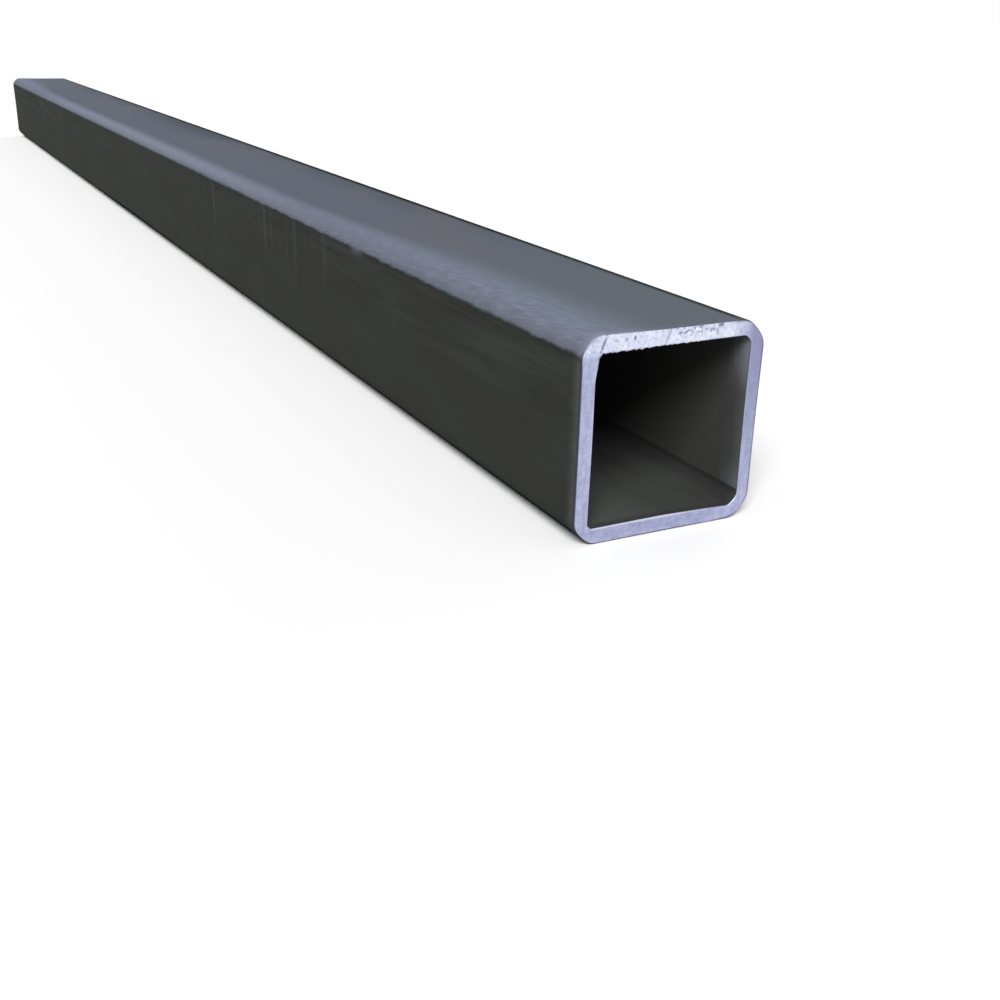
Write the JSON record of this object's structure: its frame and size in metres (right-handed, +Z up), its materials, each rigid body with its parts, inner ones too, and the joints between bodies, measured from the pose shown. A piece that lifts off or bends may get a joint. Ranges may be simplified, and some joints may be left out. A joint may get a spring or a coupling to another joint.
{
  "type": "square steel tube",
  "caption": "Straight length of square hollow steel section with rounded corners and open sawn ends, stock for framing, posts, brackets and welded structures.",
  "frame": {"origin": "middle of the bottom face: centre of the tube's footprint on the floor, halfway between the sawn ends", "axes": "+Y along the tube from the near sawn end to the far sawn end, +Z up out of the top face, +X out of the right-hand side face"},
  "size_m": [0.05, 1, 0.05],
  "materials": {
    "mill_steel": "dark blue-grey rolled mill surface, bright bare metal on the two sawn ends"
  },
  "bodies": {
    "root": {"square_tube": "mill_steel"}
  },
  "joints": []
}
